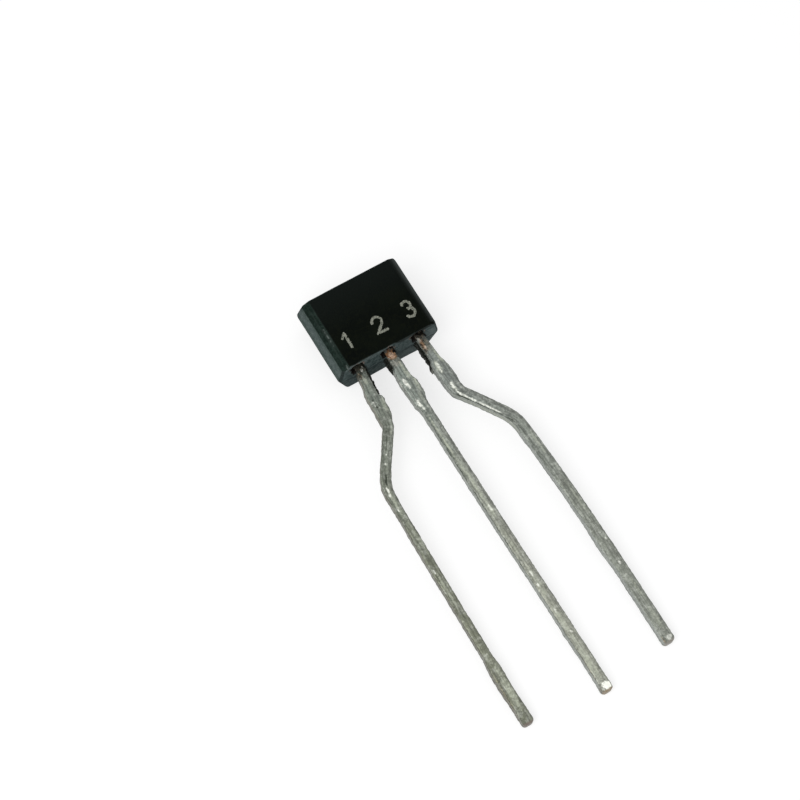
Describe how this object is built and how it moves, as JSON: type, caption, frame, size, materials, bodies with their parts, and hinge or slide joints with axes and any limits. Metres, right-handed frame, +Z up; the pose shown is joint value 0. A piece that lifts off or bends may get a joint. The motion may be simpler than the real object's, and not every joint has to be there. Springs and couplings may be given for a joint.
{
  "type": "small-signal transistor",
  "caption": "Small flat moulded transistor with a bevelled marked face and long leads, the outer ones cranked outwards for through-hole mounting.",
  "frame": {"origin": "on the surface that the part rests on, under the middle of its bounding box", "axes": "+Y along the leads from their tips to the body's top end, +Z up and near the marked face's normal, +X towards the base lead; the part lies in its rest pose, on the body's lower back edge and the longest lead's tip, which tilts it 3.1 degrees about X"},
  "size_m": [0.0064, 0.0176, 0.0022],
  "materials": {
    "epoxy": "black epoxy moulding compound, satin, fine grain from the mould",
    "tinned_lead": "dull tin plating over copper alloy, mottled, with bright drawn patches",
    "silicon": "polished silicon",
    "solder": "die-attach solder",
    "gold_wire": "bright drawn gold"
  },
  "bodies": {
    "root": {"epoxy_body": "epoxy", "emitter_lead": "tinned_lead", "collector_lead": "tinned_lead", "base_lead": "tinned_lead", "silicon_die": "silicon", "die_attach": "solder", "emitter_bond_wire": "gold_wire", "base_bond_wire": "gold_wire"}
  },
  "joints": []
}
